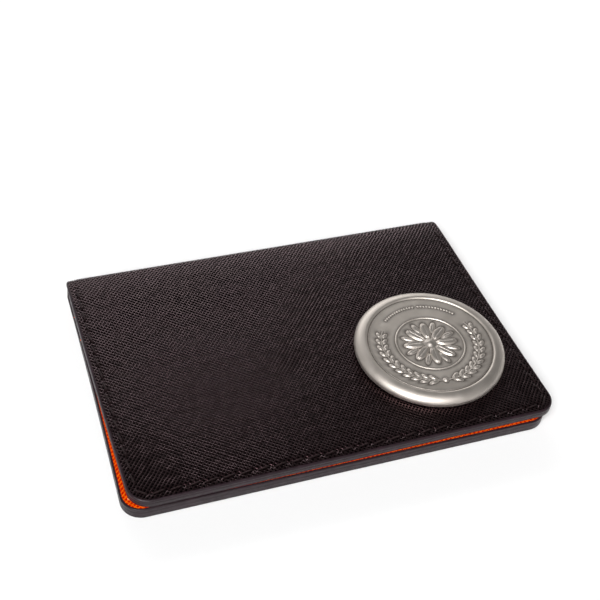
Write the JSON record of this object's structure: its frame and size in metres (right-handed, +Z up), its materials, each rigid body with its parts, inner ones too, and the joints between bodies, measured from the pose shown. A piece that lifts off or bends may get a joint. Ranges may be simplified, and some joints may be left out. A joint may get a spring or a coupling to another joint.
{
  "type": "folding card holder",
  "caption": "Folding leather card holder: a textured dark cover with a metal medallion opens on a soft spine over card pockets and a windowed panel with a card.",
  "frame": {"origin": "centre of the closed holder's resting face, on the table", "axes": "+X along the spine to the right, +Y from the opening edge to the spine, +Z up through the closed holder"},
  "size_m": [0.105, 0.074, 0.0092],
  "materials": {
    "outer_leather": "cross-hatched satin",
    "inner_leather": "cross-hatched satin",
    "board": "matte",
    "pocket_fabric": "matte weave",
    "edge_coat": "satin paint",
    "inner_thread": "waxed",
    "outer_thread": "waxed",
    "clear_film": "clear",
    "card_stock": "matte",
    "pewter": "aged cast pewter",
    "adhesive": "matte"
  },
  "bodies": {
    "back": {"back_outer_leather": "outer_leather", "back_board": "board", "back_lining": "inner_leather", "rear_pocket_fabric": "pocket_fabric", "rear_pocket_leather": "inner_leather", "front_pocket_leather": "inner_leather", "back_edge_coat": "edge_coat", "back_inner_stitching": "inner_thread", "back_outer_stitching": "outer_thread"},
    "spine": {"spine_outer_leather": "outer_leather", "spine_lining": "inner_leather", "spine_edge_coat": "edge_coat", "spine_inner_stitching": "inner_thread", "spine_outer_stitching": "outer_thread"},
    "cover": {"cover_outer_leather": "outer_leather", "cover_board": "board", "cover_lining": "inner_leather", "window_panel": "inner_leather", "window_film": "clear_film", "cover_edge_coat": "edge_coat", "cover_inner_stitching": "inner_thread", "cover_outer_stitching": "outer_thread", "medallion": "pewter", "medallion_adhesive_pad": "adhesive"},
    "card": {"display_card": "card_stock"}
  },
  "joints": [
    {"name": "spine_fold", "type": "hinge", "parent": "back", "child": "spine", "pos_m": [0, 0.0361, 0.0009], "axis": [-1, 0, 0], "range_deg": [0, 86]},
    {"name": "cover_fold", "type": "hinge", "parent": "spine", "child": "cover", "pos_m": [0, 0.0361, 0.0051], "axis": [-1, 0, 0], "range_deg": [0, 86]},
    {"name": "card_slide", "type": "slide", "parent": "cover", "child": "card", "axis": [0, 1, 0], "range_m": [-0.0055, 0.0095]}
  ],
  "couplings": [
    {"joint": "spine_fold", "follows": "cover_fold", "ratio": 1}
  ]
}
